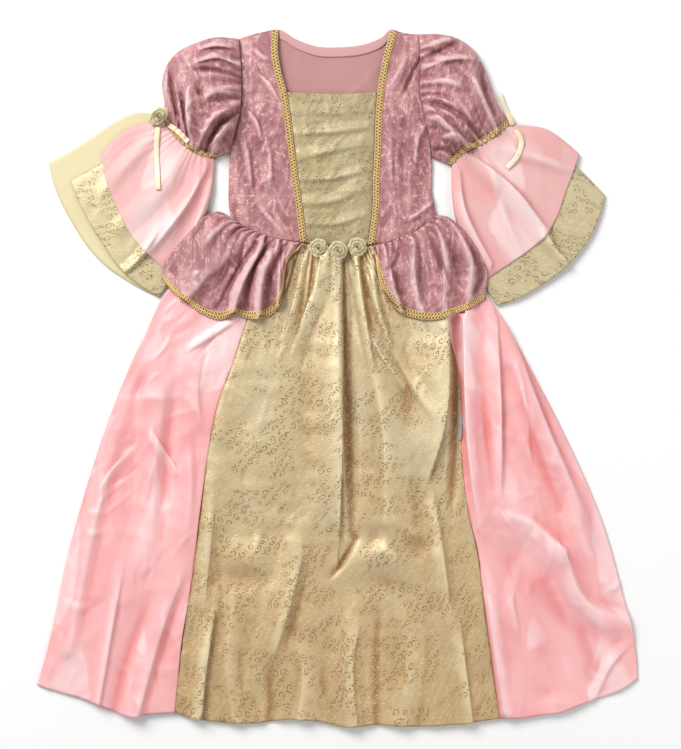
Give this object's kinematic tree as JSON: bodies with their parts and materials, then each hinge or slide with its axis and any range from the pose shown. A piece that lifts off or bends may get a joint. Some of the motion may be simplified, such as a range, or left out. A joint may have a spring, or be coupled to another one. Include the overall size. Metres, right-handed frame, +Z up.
{
  "type": "princess costume dress",
  "caption": "Child's princess dress lying flat: pink velvet bodice, puff sleeves and peplum, gold brocade front, pink satin skirt, layered cuff flounces, braid and ribbon rosettes.",
  "frame": {"origin": "on the surface the dress lies on, below the middle of its bounding box", "axes": "+Y towards the neck, +X towards the wearer's left, +Z up from the surface"},
  "size_m": [0.8136, 0.9436, 0.0442],
  "materials": {
    "velvet": "crushed velvet, dusty rose, soft bright nap",
    "facing": "matt pink tape",
    "pink_satin": "satin, glossy pink",
    "gold_brocade": "woven brocade, satin ground with metallic thread scrolls",
    "pale_frill": "thin satin, pale pink",
    "gold_frill": "thin satin with metallic thread scrolls, plain cream wrong side",
    "braid": "metallic gimp braid, antique gold",
    "rosette": "gathered satin ribbon, pale green gold",
    "ribbon": "satin ribbon, cream",
    "label": "plain woven tape, grey"
  },
  "bodies": {
    "root": {"bodice_back": "velvet", "neck_facing": "facing", "peplum_back": "velvet", "peplum_back_braid": "braid", "skirt_back": "pink_satin", "skirt_side_right": "pink_satin", "skirt_side_left": "pink_satin", "skirt_front": "gold_brocade", "stomacher": "gold_brocade", "bodice_side_right": "velvet", "bodice_braid_right": "braid", "sleeve_right_back": "velvet", "sleeve_right_braid_back": "braid", "sleeve_right_front": "velvet", "sleeve_right_braid": "braid", "flounce_pink_right_back": "pale_frill", "flounce_gold_right_back": "gold_frill", "flounce_gold_right_front": "gold_frill", "flounce_pink_right_front": "pale_frill", "peplum_right": "velvet", "peplum_right_braid": "braid", "bodice_side_left": "velvet", "bodice_braid_left": "braid", "sleeve_left_back": "velvet", "sleeve_left_braid_back": "braid", "sleeve_left_front": "velvet", "sleeve_left_braid": "braid", "flounce_pink_left_back": "pale_frill", "flounce_gold_left_back": "gold_frill", "flounce_gold_left_front": "gold_frill", "flounce_pink_left_front": "pale_frill", "peplum_left": "velvet", "peplum_left_braid": "braid", "waist_rosette_1": "rosette", "waist_rosette_2": "rosette", "waist_rosette_3": "rosette", "sleeve_rosette": "rosette", "ribbon_right_long": "ribbon", "ribbon_right_short": "ribbon", "ribbon_left_up": "ribbon", "ribbon_left_down": "ribbon", "seam_label": "label"}
  },
  "joints": []
}
